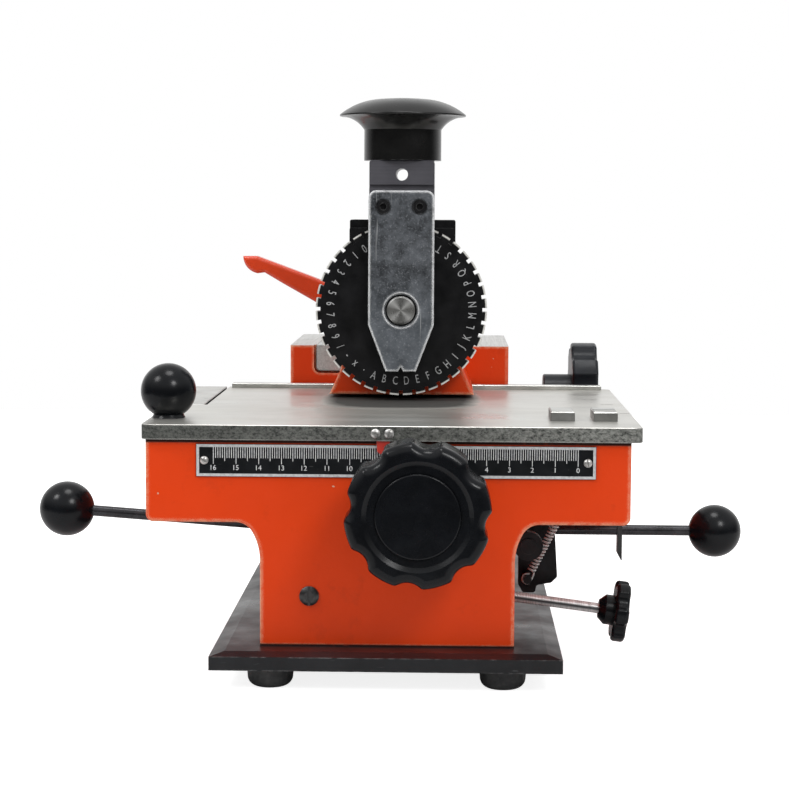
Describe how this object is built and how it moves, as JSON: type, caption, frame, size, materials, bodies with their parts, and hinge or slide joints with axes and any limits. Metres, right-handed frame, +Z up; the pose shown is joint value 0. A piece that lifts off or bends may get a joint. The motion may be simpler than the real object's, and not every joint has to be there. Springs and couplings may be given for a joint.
{
  "type": "nameplate marking machine",
  "caption": "Bench machine that presses characters into metal nameplates: a type wheel hangs in a struck ram over a steel table that a lobed hand knob moves sideways by rack and pinion.",
  "frame": {"origin": "on the floor under the middle of the base plate, centre of the four feet", "axes": "+X to the operator's right, +Y to the back, +Z up"},
  "size_m": [0.328, 0.3517, 0.2645],
  "materials": {
    "orange_paint": "semi-gloss orange paint on cast metal",
    "black_paint": "satin black paint",
    "rubber": "matt",
    "bright_steel": "ground steel",
    "dark_steel": "blue-grey, worn at the edges",
    "black_oxide": "satin black oxide",
    "black_plastic": "polished black",
    "ruler": "black with a bright border",
    "red_paint": "red",
    "bronze": "plain bronze",
    "spring_steel": "bright wire"
  },
  "bodies": {
    "frame": {"base_plate": "black_paint", "rubber_feet": "rubber", "pedestal": "orange_paint", "base_bolts": "black_oxide", "rear_column": "orange_paint", "guide_rods": "bright_steel", "ruler_plate": "ruler", "ruler_screws": "bright_steel", "front_bush": "bronze", "slotted_screw": "black_oxide", "lever_pin": "bright_steel", "lever_bearings": "black_paint", "spring_hanger": "black_oxide", "rear_bushes": "bronze", "tension_spring": "spring_steel"},
    "carriage": {"table_plate": "bright_steel", "corner_insert": "bright_steel", "back_fence": "bright_steel", "stop_blocks": "dark_steel", "pointer": "red_paint", "pointer_screws": "bright_steel", "saddle": "dark_steel", "saddle_bushes": "bronze", "carriage_rack": "bright_steel", "table_ball": "black_plastic"},
    "hand_wheel": {"hand_knob": "black_plastic", "knob_cap": "black_plastic", "hand_shaft": "bright_steel", "carriage_pinion": "bright_steel", "ratchet_wheel": "dark_steel"},
    "head": {"slide_bar": "bright_steel", "slide_rack": "bright_steel", "head_bracket": "orange_paint", "guide_block": "black_oxide", "gib_strips": "black_oxide", "gib_screws": "black_oxide", "return_spring": "spring_steel"},
    "rear_knob": {"rear_star_knob": "black_plastic", "rear_shaft": "bright_steel", "slide_pinion": "bright_steel"},
    "clamp": {"clamp_lever": "orange_paint"},
    "ram": {"ram_block": "black_oxide", "mushroom_knob": "black_oxide", "front_plate": "dark_steel", "plate_screws": "black_oxide", "wheel_axle": "bright_steel", "index_plunger": "bright_steel"},
    "wheel": {"type_wheel": "black_oxide"},
    "release_lever": {"release_rod": "black_oxide", "release_ball": "black_plastic", "release_arm": "dark_steel"},
    "step_lever": {"step_rod": "black_oxide", "step_ball": "black_plastic", "step_crank": "black_paint", "rockshaft": "bright_steel", "feed_arm": "dark_steel", "rod_blade": "dark_steel"},
    "adjuster": {"adjust_screw": "bright_steel", "adjust_knob": "black_plastic"}
  },
  "joints": [
    {"name": "table_slide", "type": "slide", "parent": "frame", "child": "carriage", "axis": [1, 0, 0], "range_m": [-0.0737, 0.0863]},
    {"name": "hand_knob_turn", "type": "hinge", "parent": "frame", "child": "hand_wheel", "pos_m": [0.014, -0.12, 0.0815], "axis": [0, 1, 0], "range_deg": [-353, 413]},
    {"name": "head_slide", "type": "slide", "parent": "frame", "child": "head", "axis": [0, 1, 0], "range_m": [-0.035, 0]},
    {"name": "rear_knob_turn", "type": "hinge", "parent": "frame", "child": "rear_knob", "pos_m": [0, 0.084, 0.1093], "axis": [1, 0, 0], "range_deg": [-1, 184]},
    {"name": "clamp_turn", "type": "hinge", "parent": "frame", "child": "clamp", "pos_m": [-0.032, 0.095, 0.15], "axis": [0, 0, 1], "range_deg": [-85, 40]},
    {"name": "ram_slide", "type": "slide", "parent": "head", "child": "ram", "axis": [0, 0, 1], "range_m": [-0.0025, 0], "stiffness_N_per_m": 4000, "springref_m": 0.008, "deforming": ["return_spring"]},
    {"name": "wheel_turn", "type": "hinge", "parent": "ram", "child": "wheel", "pos_m": [0.0028, -0.0215, 0.1605], "axis": [0, 1, 0], "continuous": true},
    {"name": "release_swing", "type": "hinge", "parent": "frame", "child": "release_lever", "pos_m": [-0.045, -0.107, 0.0647], "axis": [0, 1, 0], "range_deg": [-6, 0], "stiffness_Nm_per_rad": 0.8, "springref_deg": 20.05},
    {"name": "step_swing", "type": "hinge", "parent": "frame", "child": "step_lever", "pos_m": [0.0635, -0.08, 0.0568], "axis": [0, 1, 0], "range_deg": [0, 8], "stiffness_Nm_per_rad": 0.5, "springref_deg": -20.05, "deforming": ["tension_spring"]},
    {"name": "adjuster_turn", "type": "hinge", "parent": "frame", "child": "adjuster", "pos_m": [0.09917, -0.1, 0.02633], "axis": [0.9917, 0, -0.1288], "continuous": true}
  ],
  "couplings": [
    {"joint": "hand_knob_turn", "follows": "table_slide", "rad_per_m": 83.333},
    {"joint": "rear_knob_turn", "follows": "head_slide", "rad_per_m": -90.909}
  ]
}
